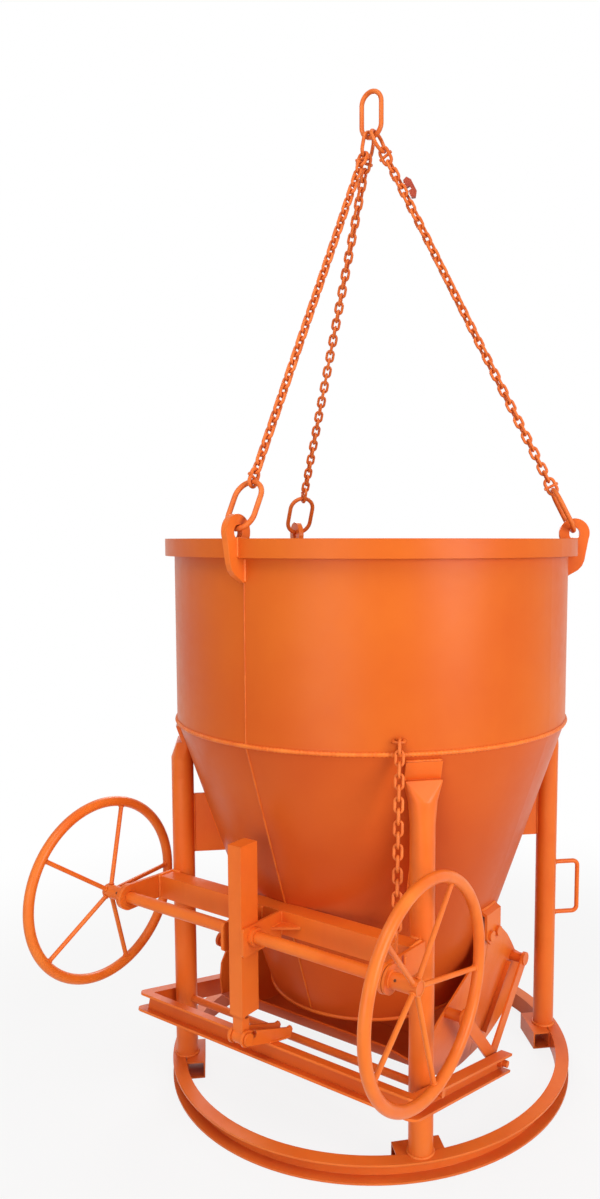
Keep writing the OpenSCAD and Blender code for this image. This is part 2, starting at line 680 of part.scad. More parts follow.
module wheel_spokes(phase) difference() {
    for (k = [0:4]) translate([hub_x - 12, -shaft_y, shaft_z]) rotate([-(phase + 72 * k), 0, 0])
        rotate([0, atan2(wheel_x - hub_x + 12, wheel_r), 0])
            cylinder(h = sqrt(pow(wheel_r, 2) + pow(wheel_x - hub_x + 12, 2)), d = spoke_d, $fn = 32);
    bar_x(hub_x - 40, hub_x + 20, -shaft_y, shaft_z, hub_d / 2 + weld_gap);
    translate([wheel_x, -shaft_y, shaft_z]) rotate([0, 90, 0])
        rotate_extrude($fn = 128) translate([wheel_r, 0]) circle(d = wheel_tube + 2 * weld_gap, $fn = 32);
}

module wheel_hub() difference() {
    union() {
        bar_x(flange_x0, flange_x1, -shaft_y, shaft_z, hub_flange_d / 2);
        bar_x(flange_x0, hub_x, -shaft_y, shaft_z, hub_d / 2);
    }
    bar_x(flange_x0 - 1, hub_x + 1, -shaft_y, shaft_z, shaft_d / 2 + weld_gap / 2);
    hub_pin(0.2);
}

module wheel_rim_right() color("orange") wheel_rim();
module wheel_rim_left() color("orange") mirror([1, 0, 0]) wheel_rim();
module wheel_spokes_right() color("orange") wheel_spokes(right_phase);
module wheel_spokes_left() color("orange") mirror([1, 0, 0]) wheel_spokes(left_phase);
module wheel_hub_right() color("orangered") wheel_hub();
module wheel_hub_left() color("orangered") mirror([1, 0, 0]) wheel_hub();

// Rack teeth from the pitch line towards the shaft, one tooth at the shaft height
rack_half = tooth_p / 4 - tooth_back / 4;
module rack_bar() color("silver") difference() {
    union() {
        side(-rack_x, rack_x) translate([-rack_y0, rack_pin_z]) square([rack_y0 - pitch_y - tooth_ded, rack_z1 - rack_pin_z]);
        side(-rack_x, rack_x) translate([-rack_pin_y, rack_pin_z]) circle(r = rack_foot_r);
        side(-rack_x, rack_x) translate([-rack_y0, rack_pin_z]) square([rack_y0 - rack_pin_y + rack_foot_r, guide_z0 - 10 - rack_pin_z]);
        for (k = [-2:11]) side(-rack_x, rack_x) translate([-pitch_y, shaft_z + k * tooth_p])
            polygon([[-tooth_ded - 0.5, -rack_half - tooth_ded * tan(tooth_ang)],
                [-tooth_ded - 0.5, rack_half + tooth_ded * tan(tooth_ang)],
                [tooth_add, rack_half - tooth_add * tan(tooth_ang)],
                [tooth_add, -rack_half + tooth_add * tan(tooth_ang)]]);
    }
    bar_x(-guide_w, guide_w, -rack_pin_y, rack_pin_z, rack_pin_d / 2 + weld_gap);
}

module rack_pin() color("dimgray") {
    bar_x(-lug_x1 - 2, lug_x1 + 2, -rack_pin_y, rack_pin_z, rack_pin_d / 2);
    both() bar_x(lug_x1 + side_gap, lug_x1 + side_gap + 5, -rack_pin_y, rack_pin_z, rack_pin_d / 2 + 7);
}

// Places what is drawn flat about the yoke axle at the yoke's slope
module at_yoke() translate([0, -leg_y, axle_z]) rotate([-yoke_tilt, 0, 0]) children();

module yoke_plan(o) difference() {
    union() {
        translate([-yoke_xo, -yoke_front + 26]) square([2 * yoke_xo, yoke_front + yoke_rear - 26]);
        translate([-yoke_xo + 26, -yoke_front]) square([2 * yoke_xo - 52, 60]);
        for (s = [-1, 1]) translate([s * (yoke_xo - 26), -yoke_front + 26]) circle(r = 26);
    }
    translate([-yoke_x - o, -yoke_front + yoke_w - o])
        square([2 * yoke_x + 2 * o, yoke_front + yoke_rear]);
}

module yoke_channel() color("orange") difference() {
    at_yoke() {
        translate([0, 0, yoke_up - yoke_t]) linear_extrude(yoke_t) yoke_plan(0);
        translate([0, 0, -yoke_dn]) linear_extrude(yoke_t) yoke_plan(0);
        translate([0, 0, -yoke_dn + 1]) linear_extrude(yoke_h - 2) difference() {
            translate([-yoke_x - yoke_t, -yoke_front + yoke_w - yoke_t])
                square([2 * (yoke_x + yoke_t), yoke_front - yoke_w + yoke_t + yoke_rear]);
            translate([-yoke_x, -yoke_front + yoke_w]) square([2 * yoke_x, yoke_front + yoke_rear]);
        }
    }
    bar_x(-yoke_xo - 1, yoke_xo + 1, -leg_y, axle_z, axle_d / 2 + run_gap);
    bar_x(-yoke_xo - 1, yoke_xo + 1, link_y, link_z, link_pin_d / 2 + weld_gap);
}

// Points on the top flange of the yoke front
function yoke_pt(y, w) = [-leg_y + y * cos(yoke_tilt) + w * sin(yoke_tilt), axle_z - y * sin(yoke_tilt) + w * cos(yoke_tilt)];

module yoke_lugs() color("orangered") both() difference() {
    side(lug_x0, lug_x1) difference() {
        union() {
            polygon([yoke_pt(-yoke_front, yoke_up + weld_gap), yoke_pt(-yoke_front + 88, yoke_up + weld_gap),
                yoke_pt(-yoke_front + 92, yoke_up + 18), yoke_pt(-yoke_front + 84, yoke_up + 27),
                yoke_pt(-yoke_front + 72, yoke_up + 24), [-rack_pin_y, rack_pin_z + rack_foot_r + 4],
                [-rack_pin_y, rack_pin_z - rack_foot_r - 4]]);
            translate([-rack_pin_y, rack_pin_z]) circle(r = rack_foot_r + 4);
        }
        translate([-rack_pin_y, rack_pin_z]) circle(r = rack_pin_d / 2 + slot_play);
        translate([-rack_pin_y + slot_len, rack_pin_z]) circle(r = rack_pin_d / 2 + slot_play);
        translate([-rack_pin_y, rack_pin_z - rack_pin_d / 2 - slot_play]) square([slot_len, rack_pin_d + 2 * slot_play]);
    }
}

module yoke_link_pins() color("dimgray") both() {
    bar_x(rear_link_x - 4, yoke_xo - 1, link_y, link_z, link_pin_d / 2);
    bar_x(rear_link_x - 6, rear_link_x - run_gap, link_y, link_z, link_pin_d / 2 + 5);
    bar_x(link_x1 + run_gap, yoke_x - weld_gap, link_y, link_z, link_pin_d / 2 + 5);
    translate([yoke_x + yoke_t + weld_gap, link_y, link_z]) rotate([0, 90, 0])
        cylinder(h = 11, r = link_pin_d / 2 + 5, $fn = 6);
}

// Side of a gate at the pivot, s is -1 for the front gate and 1 for the rear gate
module gate_sector(s, a, out) polygon([[s * shut_gap / 2, pivot_z - 30], [s * shut_gap / 2, pivot_z - out],
    [s * out, pivot_z - out], [s * (pivot_y + out * sin(a)), pivot_z - out * cos(a)], [s * pivot_y, pivot_z - 30]]);

// The space between the cheeks, seen from the front
module cheek_wedge(g) rotate([90, 0, 0]) translate([0, 0, -600]) linear_extrude(1200)
    polygon([[-cheek_x + cheek_t / cos(cheek_lean) + g, pivot_z],
        [-cheek_x + cheek_t / cos(cheek_lean) + g + 420 * tan(cheek_lean), pivot_z - 420],
        [cheek_x - cheek_t / cos(cheek_lean) - g - 420 * tan(cheek_lean), pivot_z - 420],
        [cheek_x - cheek_t / cos(cheek_lean) - g, pivot_z]]);

module gate_shell(s) intersection() {
    difference() {
        bar_x(-500, 500, s * pivot_y, pivot_z, shell_r + shell_t, $fn = 128);
        bar_x(-501, 501, s * pivot_y, pivot_z, shell_r, $fn = 128);
    }
    side(-450, 450) gate_sector(s, shell_a, shell_r + 40);
    cheek_wedge(weld_gap);
}

// One cheek, drawn flat about the pivot height and leaned against the cone
module lean_cheek(t) translate([cheek_x, 0, pivot_z]) rotate([0, cheek_lean, 0]) translate([-t, 0, 0])
    rotate([90, 0, 90]) linear_extrude(t) children();

module cheek_pair(s, pin) both() difference() {
    intersection() {
        lean_cheek(cheek_t) children();
        union() {
            bar_x(drum_r / 2, drum_r, s * pivot_y, pivot_z, shell_r + shell_t, $fn = 128);
            translate([drum_r / 2, -100, pivot_z - 40]) cube([drum_r / 2, 200, 80]);
        }
    }
    bar_x(drum_r / 2, drum_r, s * pivot_y, pivot_z, pivot_d / 2 + run_gap);
}

// The front gate has its two upper corners cut off
module front_gate_shell() color("orangered") difference() {
    gate_shell(-1);
    both() translate([0, -pivot_y, pivot_z]) rotate([90, 0, 0]) linear_extrude(shell_r + 40)
        polygon([[250, -shell_r * cos(shell_a)], [cheek_x, -shell_r * cos(shell_a) - 80], [cheek_x, 0], [250, 0]]);
}
module rear_gate_shell() color("orangered") gate_shell(1);

module front_gate_cheeks() color("orange") cheek_pair(-1) {
    translate([-pivot_y, 0]) circle(r = pivot_y - shut_gap);
    polygon([[-shut_gap / 2, -2], [-shut_gap / 2, -shell_r - 40], [-274, -shell_r - 40], [-266, -224],
        [-254, -184], [-232, -160], [-46, -58], [-pivot_y - 18, -2]]);
}

module rear_gate_cheeks() color("orange") cheek_pair(1) {
    translate([pivot_y, 0]) circle(r = pivot_y - shut_gap);
    polygon([[shut_gap / 2, -2], [shut_gap / 2, -shell_r - 40], [380, -shell_r - 40], [380, -236],
        [205, -132], [165, -90], [126, -52], [74, -12], [pivot_y + 19, 11], [pivot_y + 10, 16], [pivot_y, 18]]);
}

// What lies on the outer side of the cheek plane
module outside_cheek(g) translate([cheek_x, 0, pivot_z]) rotate([0, cheek_lean, 0])
    translate([g, -500, -500]) cube([400, 1000, 1000]);

module rear_gate_ribs() color("orange") both() intersection() {
    outside_cheek(weld_gap);
    difference() {
        translate([cheek_x, 0, pivot_z]) rotate([0, cheek_lean, 0]) translate([weld_gap - 1, 0, 0]) rotate([90, 0, 90])
            linear_extrude(14) polygon([[152, -150], [158, -146], [62, -322], [56, -320]]);
        bar_x(drum_r / 2, drum_r, rear_pin[0], rear_pin[1], gate_pin_d / 2 + 8);
    }
}

// Stub pin on a cheek: a boss, a shank through the link eye and a washer head
module gate_pin(pin, x, eye) {
    intersection() {
        bar_x(cheek_x - 80, x - run_gap, pin[0], pin[1], gate_pin_d / 2 + 7);
        outside_cheek(weld_gap);
    }
    bar_x(x - 2, x + link_t + 2, pin[0], pin[1], gate_pin_d / 2);
    bar_x(x + link_t + run_gap, x + link_t + 3.5, pin[0], pin[1], eye + front_pin_play + 1);
}

module front_gate_pins() color("dimgray") both() gate_pin(front_pin, front_link_x, front_eye);
module rear_gate_pins() color("dimgray") both() gate_pin(rear_pin, rear_link_x, rear_eye);

// A flat link bar between the yoke pin and a gate pin
module link_bar(pin, x, eye) {
    l = norm(pin - [link_y, link_z]);
    translate([x, link_y, link_z]) rotate([atan2(pin[1] - link_z, pin[0] - link_y), 0, 0]) rotate([90, 0, 90])
        linear_extrude(link_t) difference() {
            union() {
                translate([0, -link_w / 2]) square([l, link_w]);
                circle(d = link_w + 4);
                translate([l, 0]) circle(r = eye + 8);
            }
            circle(d = link_pin_d + 2 * run_gap);
            translate([l, 0]) circle(r = eye);
        }
}

module front_links() color("orange") both() link_bar(front_pin, front_link_x, front_eye);
module rear_links() color("orange") both() link_bar(rear_pin, rear_link_x, rear_eye);

drum_shell();
cone_shell();
rim_band();
outlet_bead();
base_ring();
foot_boxes();
leg_front_left();
leg_front_right();
leg_rear_left();
leg_rear_right();
leg_gussets();
grab_handle();
upper_beam();
end_bracket_left();
end_bracket_right();
mid_brackets();
shaft_bushes();
rack_guide();
pivot_bracket_left();
pivot_bracket_right();
gate_pivot_bolts();
yoke_axle();
lifting_lugs();
chain_eye();
safety_chain();
safety_hook();
sling_rings();
sling_chain_front();
sling_chain_left();
sling_chain_right();
sling_couplings();
chain_shortener();
sub_links();
master_link();
pinion_shaft();
wheel_rim_left();
wheel_rim_right();
wheel_spokes_left();
wheel_spokes_right();
wheel_hub_left();
wheel_hub_right();
hub_pins();
rack_bar();
rack_pin();
yoke_channel();
yoke_lugs();
yoke_link_pins();
front_gate_shell();
front_gate_cheeks();
front_gate_pins();
rear_gate_shell();
rear_gate_cheeks();
rear_gate_ribs();
rear_gate_pins();
front_links();
rear_links();
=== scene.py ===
import math
import random

import bmesh
import bpy
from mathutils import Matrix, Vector


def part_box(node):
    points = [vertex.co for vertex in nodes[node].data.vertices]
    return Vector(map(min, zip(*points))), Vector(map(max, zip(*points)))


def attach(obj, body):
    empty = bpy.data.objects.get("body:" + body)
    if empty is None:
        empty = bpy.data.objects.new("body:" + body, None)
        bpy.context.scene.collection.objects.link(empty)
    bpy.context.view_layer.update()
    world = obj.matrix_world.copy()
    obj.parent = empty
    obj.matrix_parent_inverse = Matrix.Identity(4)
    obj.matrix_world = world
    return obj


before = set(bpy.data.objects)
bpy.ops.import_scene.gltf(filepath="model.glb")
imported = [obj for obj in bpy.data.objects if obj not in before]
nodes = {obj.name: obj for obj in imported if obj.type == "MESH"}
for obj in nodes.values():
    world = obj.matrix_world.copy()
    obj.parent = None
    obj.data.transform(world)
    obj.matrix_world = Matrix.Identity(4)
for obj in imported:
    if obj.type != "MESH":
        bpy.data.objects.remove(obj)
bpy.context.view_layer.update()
scene = bpy.context.scene
print("frame loaded,", len(nodes), "parts")

# camera where the photographer stood, worked out for a 600 x 1199 picture
viewPoint = {"place": (1.4440, -2.1628, 1.4986), "turn": 0.5993, "down": 0.0912, "lens": 27.78,
             "sensor": 36.0, "shiftX": -0.0510, "shiftY": 0.0219, "reach": 60}
cameraData = bpy.data.cameras.new("photoCamera")
cameraData.sensor_fit = "VERTICAL"
cameraData.sensor_height = viewPoint["sensor"]
cameraData.lens = viewPoint["lens"]
cameraData.shift_x = viewPoint["shiftX"]
cameraData.shift_y = viewPoint["shiftY"]
cameraData.clip_end = viewPoint["reach"]
camera = bpy.data.objects.new("photoCamera", cameraData)
camera.location = viewPoint["place"]
camera.rotation_euler = (math.pi / 2 - viewPoint["down"], 0, viewPoint["turn"])
scene.collection.objects.link(camera)
scene.camera = camera
print("camera set")


# one socket of a material, so shader maths reads as plain sums
class Wire:
    def __init__(self, book, socket):
        self.book = book
        self.socket = socket

    def sum(self, operation, first, second):
        return self.book.put("ShaderNodeMath", {"operation": operation}, {0: first, 1: second})

    def __add__(self, other):
        return self.sum("ADD", self, other)

    def __radd__(self, other):
        return self.sum("ADD", other, self)

    def __sub__(self, other):
        return self.sum("SUBTRACT", self, other)

    def __rsub__(self, other):
        return self.sum("SUBTRACT", other, self)

    def __mul__(self, other):
        return self.sum("MULTIPLY", self, other)


# the nodes of one material or of the world
class Book:
    def __init__(self, owner):
        self.owner = owner
        owner.use_nodes = True
        self.tree = owner.node_tree
        self.tree.nodes.clear()

    def put(self, kind, settings=None, values=None, out=0):
        node = self.tree.nodes.new(kind)
        for key, value in (settings or {}).items():
            if key == "stops":
                ramp = node.color_ramp.elements
                while len(ramp) < len(value):
                    ramp.new(0.5)
                for stop, (place, shade) in zip(ramp, value):
                    stop.position = place
                    stop.color = (shade, shade, shade, 1)
            else:
                setattr(node, key, value)
        for key, value in (values or {}).items():
            socket = node.inputs[key]
            if isinstance(value, Wire):
                self.tree.links.new(value.socket, socket)
            else:
                socket.default_value = value
        return Wire(self, node.outputs[out]) if len(node.outputs) else node

    def noise(self, place, scale, detail):
        return self.put("ShaderNodeTexNoise", values={"Vector": place, "Scale": scale, "Detail": detail})

    def ramp(self, factor, stops):
        return self.put("ShaderNodeValToRGB", {"stops": stops}, {0: factor})

    def mix(self, factor, first, second):
        return self.put("ShaderNodeMix", {"data_type": "RGBA"}, {0: factor, 6: first, 7: second}, out=2)

    # a value between two limits, carried over to two others
    def span(self, value, start, end, first, last, curve="LINEAR"):
        return self.put("ShaderNodeMapRange", {"interpolation_type": curve},
                        {0: value, 1: start, 2: end, 3: first, 4: last})

    # camera, mirror and glass rays, which see the white backdrop
    def seen(self):
        rays = "ShaderNodeLightPath"
        mirror = self.put(rays, out="Is Glossy Ray") + self.put(rays, out="Is Transmission Ray")
        return self.put(rays, out="Is Camera Ray") + mirror

    def close(self, shader, outlet="ShaderNodeOutputMaterial"):
        self.put(outlet, values={"Surface": shader})
        return self.owner


# what all paints share: detail of the noises, where each effect sets in, and how strong it is
paintMake = {"cloudDetail": 4.0, "speckDetail": 5.0, "peelDetail": 2.0, "runDetail": 3.0, "samples": 4,
             "edgeStops": [(0.0, 1.0), (0.9, 1.0), (0.995, 0.0)],
             "wornStops": [(0.0, 0.0), (0.56, 0.0), (0.7, 1.0)],
             "toneStops": [(0.0, 0.0), (0.34, 0.1), (0.68, 1.0)],
             "streakStops": [(0.0, 0.0), (0.52, 0.0), (0.74, 1.0)],
             "speckRough": 0.16, "chipRough": 0.25, "streakRough": 0.05, "coatRough": 0.16,
             "cloudRelief": 0.6, "chipRelief": 1.5, "reliefDepth": 0.0006}
# the stretch of the rack that slides in its guide: ragged start, bare and oiled above it
slideMake = {"ragged": 0.02, "fade": 0.012, "smooth": 0.06, "metal": 0.9}


# sprayed workshop paint: mottled colour, orange peel, runs, scuffed edges (on the weld beads a lighter
# painted highlight), painted shade darkening the corners
def paintFinish(name, look):
    book = Book(bpy.data.materials.new(name))
    spot = book.put("ShaderNodeTexCoord", out="Object")
    height = book.put("ShaderNodeSeparateXYZ", values={0: spot}, out="Z")
    cloud = book.noise(spot, look["cloud"], paintMake["cloudDetail"])
    speck = book.noise(spot, look["speck"], paintMake["speckDetail"])
    peel = book.noise(spot, look["peel"], paintMake["peelDetail"])
    stretch = book.put("ShaderNodeMapping", values={"Vector": spot, "Scale": look["runs"]})
    run = book.noise(stretch, 1.0, paintMake["runDetail"])
    grit = speck - 0.5  # the noise lies about one half

    # rubbed edges and chips; the edge mask also carries the weld beads' painted highlight
    soft = book.put("ShaderNodeBevel", {"samples": paintMake["samples"]}, {"Radius": look["edge"]})
    flat = book.put("ShaderNodeNewGeometry", out="Normal")
    facing = book.put("ShaderNodeVectorMath", {"operation": "DOT_PRODUCT"}, {0: soft, 1: flat}, out="Value")
    edge = book.ramp(facing, paintMake["edgeStops"])
    chip = edge * book.ramp(speck, paintMake["wornStops"]) * look["chips"]

    # colour, from the first coat to the dirt on it, with painted shade in corners and a painted highlight
    # on weld edges
    paint = book.mix(book.ramp(cloud, paintMake["toneStops"]), look["deep"], look["light"])
    streak = book.ramp(run, paintMake["streakStops"])
    paint = book.mix(streak * look["streaks"], paint, look["stain"])
    # painted shade: where the occlusion finds corners and recesses, the colour darkens towards a deep
    # red-brown
    openness = book.put("ShaderNodeAmbientOcclusion", {"samples": paintMake["samples"]},
                        {"Distance": look["shadeReach"]}, out="AO")
    paint = book.mix((1 - openness) * look["cornerShade"], paint, look["cornerShadeTint"])
    low = book.span(height, 0.0, look["dustTop"], 1.0, 0.0)
    paint = book.mix(low * speck * look["dust"], paint, look["dustTint"])
    # lighter edge tint: rubbed paint on the frame, a painted highlight on the weld beads
    paint = book.mix(edge * look["edgeRubAndHighlight"], paint, look["edgeRubAndHighlightTint"])
    paint = book.mix(chip, paint, look["bare"])

    rough = look["rough"] + grit * paintMake["speckRough"]
    rough = rough + chip * paintMake["chipRough"] + streak * paintMake["streakRough"]
    metal = 0.0
    if "slideFrom" in look:
        start = look["slideFrom"]
        slide = book.span(height + grit * slideMake["ragged"], start, start + slideMake["fade"], 0.0, 1.0)
        paint = book.mix(slide, paint, look["oiled"])
        rough = rough - slide * slideMake["smooth"]
        metal = slide * slideMake["metal"]
    relief = peel + cloud * paintMake["cloudRelief"] - chip * paintMake["chipRelief"]
    bump = book.put("ShaderNodeBump", values={
        "Strength": look["relief"], "Distance": paintMake["reliefDepth"], "Height": relief, "Normal": soft})
    return book.close(book.put("ShaderNodeBsdfPrincipled", values={
        "Base Color": paint, "Roughness": rough, "Metallic": metal, "Normal": bump,
        "Specular IOR Level": look["shine"], "Coat Weight": look["coat"],
        "Coat Roughness": paintMake["coatRough"]}))


# colours are linear, lengths in metres
# drum and rim: the bucket's one orange in a darker copy, painted shade against the frame's lighter copy
sheetLook = {"deep": (0.65, 0.104, 0.010, 1), "light": (0.73, 0.148, 0.014, 1),
             "stain": (0.62, 0.085, 0.008, 1), "bare": (0.34, 0.11, 0.05, 1),
             "dustTint": (0.62, 0.28, 0.13, 1), "cornerShadeTint": (0.40, 0.022, 0.006, 1),
             "edgeRubAndHighlightTint": (0.90, 0.25, 0.05, 1), "cloud": 2.4, "speck": 38.0, "peel": 420.0,
             "runs": (9.0, 9.0, 0.9), "edge": 0.0012, "chips": 0.0, "edgeRubAndHighlight": 0.1, "streaks": 0.16,
             "dust": 0.16, "dustTop": 0.3, "shadeReach": 0.22, "cornerShade": 0.55, "rough": 0.37, "relief": 0.14,
             "shine": 0.16, "coat": 0.0}
# cone and gates: a darker copy of the drum's orange, painted shade for surfaces that face down
coneLook = dict(sheetLook, deep=(0.61, 0.088, 0.011, 1), light=(0.69, 0.122, 0.015, 1))
gateLook = dict(coneLook, shine=0.03, rough=0.55)
# frame: a lighter copy of the same orange, painted light on the smaller parts
frameLook = dict(sheetLook, deep=(0.83, 0.146, 0.014, 1), light=(0.89, 0.192, 0.022, 1), cloud=6.0,
                 speck=55.0, runs=(22.0, 22.0, 5.0), streaks=0.14, rough=0.36, relief=0.18, edge=0.0018,
                 chips=0.5, edgeRubAndHighlight=0.4, shadeReach=0.10, cornerShade=0.42, shine=0.25)
wheelLook = dict(frameLook, light=(0.89, 0.215, 0.028, 1), cloud=9.0, chips=0.6, rough=0.34, dust=0.0)
chainLook = dict(frameLook, deep=(0.72, 0.14, 0.02, 1), light=(0.86, 0.2, 0.034, 1), cloud=30.0,
                 speck=140.0, edge=0.0008, rough=0.4, relief=0.3, streaks=0.3, dust=0.0, shadeReach=0.03)
clawLook = dict(chainLook, deep=(0.34, 0.04, 0.02, 1), light=(0.46, 0.07, 0.03, 1),
                stain=(0.24, 0.03, 0.02, 1), edgeRubAndHighlightTint=(0.5, 0.1, 0.05, 1))
rackLook = dict(frameLook, slideFrom=0.368, oiled=(0.30, 0.27, 0.24, 1))
# weld beads: lighter tones and a strong pale edge tint, a painted highlight along the beads; the seams keep
# part of it
weldLook = dict(frameLook, light=(0.93, 0.23, 0.03, 1), edgeRubAndHighlightTint=(0.95, 0.36, 0.1, 1), cloud=40.0,
                speck=160.0, relief=0.3, edge=0.0006, chips=0.0, edgeRubAndHighlight=0.6, shadeReach=0.05, cornerShade=0.3)
seamLook = dict(weldLook, deep=(0.66, 0.108, 0.010, 1), light=(0.76, 0.165, 0.018, 1), edgeRubAndHighlight=0.25)
pinLook = dict(frameLook, deep=(0.10, 0.03, 0.014, 1), light=(0.16, 0.05, 0.02, 1),
               stain=(0.06, 0.02, 0.01, 1), edgeRubAndHighlightTint=(0.2, 0.08, 0.04, 1), cloud=60.0)
looks = {"sheetPaint": sheetLook, "conePaint": coneLook, "gatePaint": gateLook, "framePaint": frameLook,
         "wheelPaint": wheelLook, "chainPaint": chainLook, "clawPaint": clawLook, "rackPaint": rackLook,
         "weldPaint": weldLook, "seamPaint": seamLook, "pinSteel": pinLook}
paints = {name: paintFinish(name, look) for name, look in looks.items()}

# parts with a look of their own (the drum, cone and gates in darker copies of the one orange, as painted
# shade); all others have the frame's
partsOf = {"sheetPaint": ["drum_shell", "rim_band"],
           "conePaint": ["cone_shell"],
           "gatePaint": ["front_gate_shell", "rear_gate_shell"],
           "wheelPaint": ["wheel_rim_left", "wheel_rim_right", "wheel_spokes_left", "wheel_spokes_right",
                          "wheel_hub_left", "wheel_hub_right"],
           "chainPaint": ["sling_rings", "sling_chain_front", "sling_chain_left", "sling_chain_right",
                          "sling_couplings", "sub_links", "master_link", "safety_chain", "safety_hook",
                          "chain_eye"],
           "clawPaint": ["chain_shortener"],
           "rackPaint": ["rack_bar"],
           "pinSteel": ["hub_pins"]}
paintOf = {part: paint for paint, parts in partsOf.items() for part in parts}
for name, part in nodes.items():
    part.data.materials.clear()
    part.data.materials.append(paints[paintOf.get(name, "framePaint")])
print("paint on every part")

# a weld bead: sides of its section, ripple along it, thin ends, gap between its points
beadForm = {"sides": 7, "ripple": 0.14, "beat": 2.1, "uneven": 0.07, "end": 0.55,
            "step": 0.0032, "fewest": 14, "steep": 0.8}
beadSize = {"seam": 0.0056, "joint": 0.0042, "small": 0.0030, "tiny": 0.0021}
seeds = {"weldHull": 11, "weldLegs": 12, "weldBeam": 13, "weldLugs": 14, "weldWheels": 15,
         "weldYoke": 16, "weldFrontGate": 17, "weldRearGate": 18, "weldSeams": 19}
up = Vector((0, 0, 1))
right = Vector((1, 0, 0))


# a direction square to an axis
def squareTo(axis):
    guess = up if abs(axis.z) < beadForm["steep"] else right
    return axis.cross(guess).normalized()


# a circle of points in the plane of two directions
def circle(centre, across, over, radius, count):
    turns = [2 * math.pi * i / count for i in range(count)]
    return [centre + (across * math.cos(turn) + over * math.sin(turn)) * radius for turn in turns]


# a rippled bead along a path, added to a shared mesh
def layBead(mesh, path, size, closed, rng):
    count = len(path)
    sides = beadForm["sides"]
    rings = []
    across = None
    for i, here in enumerate(path):
        ahead = path[(i + 1) % count] if closed or i < count - 1 else here
        behind = path[i - 1] if closed or i else here
        along = (ahead - behind).normalized()
        if across is None:
            across = squareTo(along)
        across = (across - along * across.dot(along)).normalized()
        wave = beadForm["ripple"] * math.sin(i * beadForm["beat"])
        thick = size * (1 + wave + rng.uniform(-beadForm["uneven"], beadForm["uneven"]))
        if not closed and i in (0, count - 1):
            thick *= beadForm["end"]
        ring = circle(here, across, along.cross(across), thick, sides)
        rings.append([mesh.verts.new(point) for point in ring])
    for i in range(count if closed else count - 1):
        one, two = rings[i], rings[(i + 1) % count]
        for k in range(sides):
            mesh.faces.new((one[k], one[(k + 1) % sides], two[(k + 1) % sides], two[k]))
    if not closed:
        mesh.faces.new(rings[0][::-1])
        mesh.faces.new(rings[-1])


# a bead along a line of corners, with evenly spaced points
def lineBead(corners, size):
    points = []
    for start, end in zip(corners, corners[1:]):
        count = max(2, int((end - start).length / beadForm["step"]))
        points += [start.lerp(end, i / count) for i in range(count)]
    return points + [corners[-1]], beadSize[size], False


# a closed bead about an axis
def ringBead(centre, axis, radius, size):
    axis = axis.normalized()
    across = squareTo(axis)
    count = max(beadForm["fewest"], int(2 * math.pi * radius / beadForm["step"]))
    return circle(centre, across, axis.cross(across), radius, count), beadSize[size], True


# beads that belong together, as one piece on the body that carries them
def weldPiece(name, body, beads, paint="weldPaint"):
    rng = random.Random(seeds[name])
    mesh = bmesh.new()
    for path, size, closed in beads:
        layBead(mesh, path, size, closed, rng)
    bmesh.ops.recalc_face_normals(mesh, faces=mesh.faces)
    data = bpy.data.meshes.new(name)
    mesh.to_mesh(data)
    mesh.free()
    for face in data.polygons:
        face.use_smooth = True
    piece = bpy.data.objects.new(name, data)
    scene.collection.objects.link(piece)
    data.materials.append(paints[paint])
    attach(piece, body)
    print("weld", name, len(data.vertices), "points")


# sizes of the bucket that the welds follow, in metres and degrees
hull = {"drumR": 0.540, "outletR": 0.287, "outletZ": 0.259, "seamZ": 1.016, "rimZ": 1.505, "rimH": 0.045,
        "rimR": 0.5644, "legR": 0.529, "legA": 46.8, "legTube": 0.030, "ringH": 0.050}
coneSlope = (hull["drumR"] - hull["outletR"]) / (hull["seamZ"] - hull["outletZ"])
rimLow = hull["rimZ"] - hull["rimH"]


# a point at a front angle, radius, height and sideways offset
def around(angle, radius, height, aside=0.0):
    turn = math.radians(angle)
    return Vector((radius * math.sin(turn) + aside * math.cos(turn),
                   -radius * math.cos(turn) + aside * math.sin(turn), height))


# outer radius of the cone at a height
def coneR(height):
    return hull["outletR"] + coneSlope * (height - hull["outletZ"])


# round seam between drum and cone, and the upright seams of the two sheets
seamWeld = {"angle": 0.6, "coneFoot": 0.262, "sunk": 0.0003}
seamMiddle = around(seamWeld["angle"], hull["drumR"], hull["seamZ"])
drumSeam = [seamMiddle, around(seamWeld["angle"], hull["drumR"], rimLow)]
coneSeam = [around(seamWeld["angle"], coneR(seamWeld["coneFoot"]), seamWeld["coneFoot"]), seamMiddle]
roundSeam = ringBead(up * hull["seamZ"], up, hull["drumR"] - seamWeld["sunk"], "seam")
weldPiece("weldHull", "frame", [roundSeam])
weldPiece("weldSeams", "frame", [lineBead(drumSeam, "tiny"), lineBead(coneSeam, "small")], "seamPaint")

